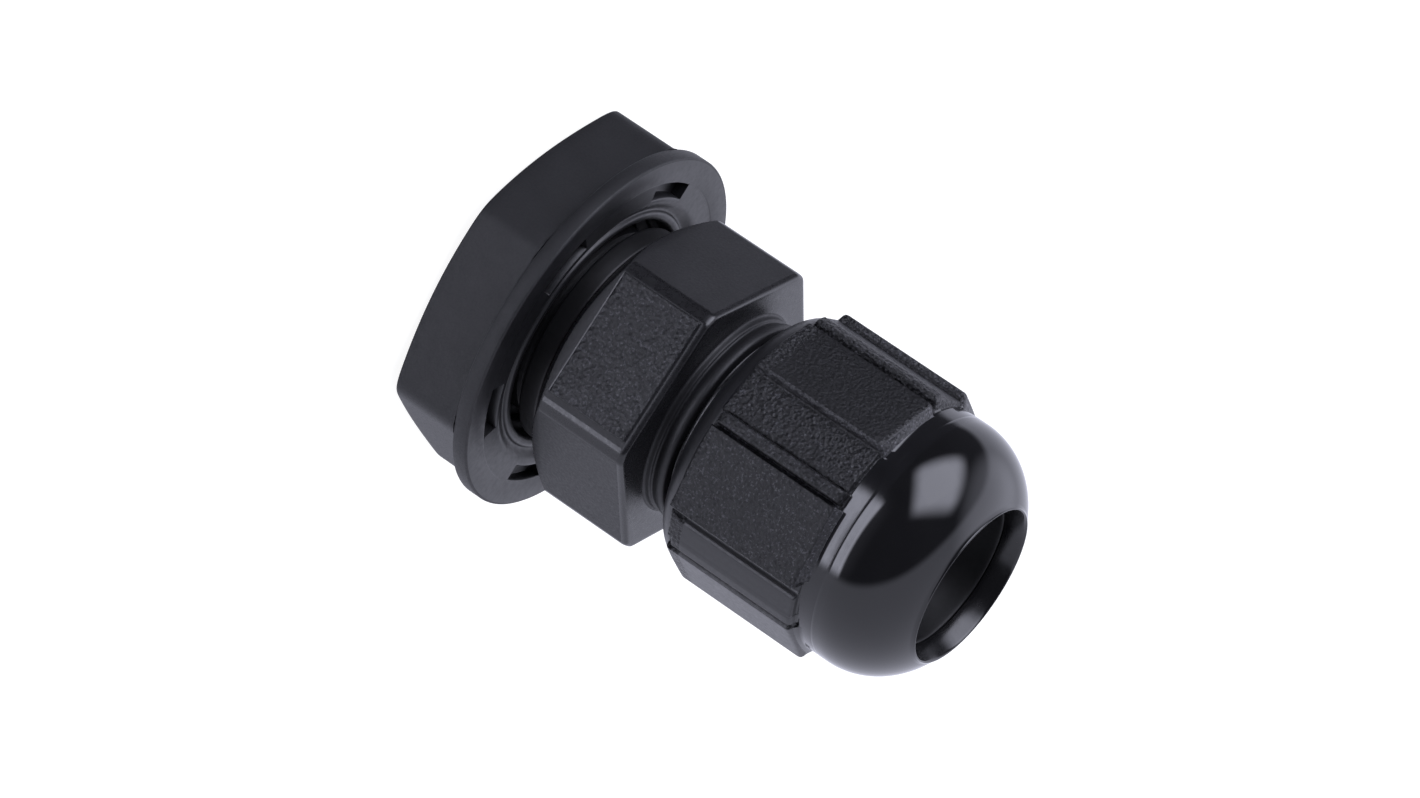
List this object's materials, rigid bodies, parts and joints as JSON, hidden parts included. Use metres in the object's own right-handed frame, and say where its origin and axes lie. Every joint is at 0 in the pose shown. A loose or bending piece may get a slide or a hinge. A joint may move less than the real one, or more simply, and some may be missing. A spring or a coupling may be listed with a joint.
{
  "type": "cable gland",
  "caption": "Domed plastic cable gland with a hexagonal body, flanged hexagonal locknut, sealing ring, clamping collet and rubber seal insert.",
  "frame": {"origin": "centre of the locknut's back face, on the cable axis", "axes": "+Z along the cable axis from the locknut towards the domed cap nut; +Y through one of the cap nut's six ridges"},
  "size_m": [0.0272, 0.0272, 0.0387],
  "materials": {
    "locknut_nylon": "satin black moulded polyamide",
    "body_nylon": "fine spark-textured black moulded polyamide",
    "cap_nylon": "black moulded polyamide, high-gloss dome and spark-textured grip flats",
    "seal_rubber": "matt black rubber"
  },
  "bodies": {
    "locknut": {"locknut": "locknut_nylon"},
    "sealing_ring": {"sealing_ring": "seal_rubber"},
    "gland_body": {"gland_body": "body_nylon"},
    "seal_insert": {"seal_insert": "seal_rubber"},
    "cap_nut": {"cap_nut": "cap_nylon"},
    "clamping_finger_01": {"clamping_finger_01": "body_nylon"},
    "clamping_finger_02": {"clamping_finger_02": "body_nylon"},
    "clamping_finger_03": {"clamping_finger_03": "body_nylon"},
    "clamping_finger_04": {"clamping_finger_04": "body_nylon"},
    "clamping_finger_05": {"clamping_finger_05": "body_nylon"},
    "clamping_finger_06": {"clamping_finger_06": "body_nylon"},
    "clamping_finger_07": {"clamping_finger_07": "body_nylon"},
    "clamping_finger_08": {"clamping_finger_08": "body_nylon"},
    "clamping_finger_09": {"clamping_finger_09": "body_nylon"},
    "clamping_finger_10": {"clamping_finger_10": "body_nylon"}
  },
  "joints": [
    {"name": "body_travel", "type": "slide", "parent": "locknut", "child": "sealing_ring", "axis": [0, 0, 1], "range_m": [0, 0.00543]},
    {"name": "body_turn", "type": "hinge", "parent": "sealing_ring", "child": "gland_body", "pos_m": [0, 0, 0.0077], "axis": [0, 0, 1], "range_deg": [0, 1296]},
    {"name": "cap_nut_travel", "type": "slide", "parent": "gland_body", "child": "seal_insert", "axis": [0, 0, 1], "range_m": [-0.0018, 0.0065]},
    {"name": "cap_nut_turn", "type": "hinge", "parent": "seal_insert", "child": "cap_nut", "pos_m": [0, 0, 0.0265], "axis": [0, 0, 1], "range_deg": [-426, 1548]},
    {"name": "finger_01_flex", "type": "hinge", "parent": "gland_body", "child": "clamping_finger_01", "pos_m": [0.00609, 0.00198, 0.0269], "axis": [0.309, -0.9511, 0], "range_deg": [-4.02, 1.2]},
    {"name": "finger_02_flex", "type": "hinge", "parent": "gland_body", "child": "clamping_finger_02", "pos_m": [0.00376, 0.00518, 0.0269], "axis": [0.809, -0.5878, 0], "range_deg": [-4.02, 1.2]},
    {"name": "finger_03_flex", "type": "hinge", "parent": "gland_body", "child": "clamping_finger_03", "pos_m": [0, 0.0064, 0.0269], "axis": [1, 0, 0], "range_deg": [-4.02, 1.2]},
    {"name": "finger_04_flex", "type": "hinge", "parent": "gland_body", "child": "clamping_finger_04", "pos_m": [-0.00376, 0.00518, 0.0269], "axis": [0.809, 0.5878, 0], "range_deg": [-4.02, 1.2]},
    {"name": "finger_05_flex", "type": "hinge", "parent": "gland_body", "child": "clamping_finger_05", "pos_m": [-0.00609, 0.00198, 0.0269], "axis": [0.309, 0.9511, 0], "range_deg": [-4.02, 1.2]},
    {"name": "finger_06_flex", "type": "hinge", "parent": "gland_body", "child": "clamping_finger_06", "pos_m": [-0.00609, -0.00198, 0.0269], "axis": [-0.309, 0.9511, 0], "range_deg": [-4.02, 1.2]},
    {"name": "finger_07_flex", "type": "hinge", "parent": "gland_body", "child": "clamping_finger_07", "pos_m": [-0.00376, -0.00518, 0.0269], "axis": [-0.809, 0.5878, 0], "range_deg": [-4.02, 1.2]},
    {"name": "finger_08_flex", "type": "hinge", "parent": "gland_body", "child": "clamping_finger_08", "pos_m": [0, -0.0064, 0.0269], "axis": [-1, 0, 0], "range_deg": [-4.02, 1.2]},
    {"name": "finger_09_flex", "type": "hinge", "parent": "gland_body", "child": "clamping_finger_09", "pos_m": [0.00376, -0.00518, 0.0269], "axis": [-0.809, -0.5878, 0], "range_deg": [-4.02, 1.2]},
    {"name": "finger_10_flex", "type": "hinge", "parent": "gland_body", "child": "clamping_finger_10", "pos_m": [0.00609, -0.00198, 0.0269], "axis": [-0.309, -0.9511, 0], "range_deg": [-4.02, 1.2]}
  ],
  "couplings": [
    {"joint": "body_travel", "follows": "body_turn", "m_per_rad": 0.00023873},
    {"joint": "cap_nut_travel", "follows": "cap_nut_turn", "m_per_rad": 0.00023873},
    {"joint": "finger_01_flex", "follows": "cap_nut_turn", "ratio": -0.002584},
    {"joint": "finger_02_flex", "follows": "cap_nut_turn", "ratio": -0.002584},
    {"joint": "finger_03_flex", "follows": "cap_nut_turn", "ratio": -0.002584},
    {"joint": "finger_04_flex", "follows": "cap_nut_turn", "ratio": -0.002584},
    {"joint": "finger_05_flex", "follows": "cap_nut_turn", "ratio": -0.002584},
    {"joint": "finger_06_flex", "follows": "cap_nut_turn", "ratio": -0.002584},
    {"joint": "finger_07_flex", "follows": "cap_nut_turn", "ratio": -0.002584},
    {"joint": "finger_08_flex", "follows": "cap_nut_turn", "ratio": -0.002584},
    {"joint": "finger_09_flex", "follows": "cap_nut_turn", "ratio": -0.002584},
    {"joint": "finger_10_flex", "follows": "cap_nut_turn", "ratio": -0.002584}
  ]
}
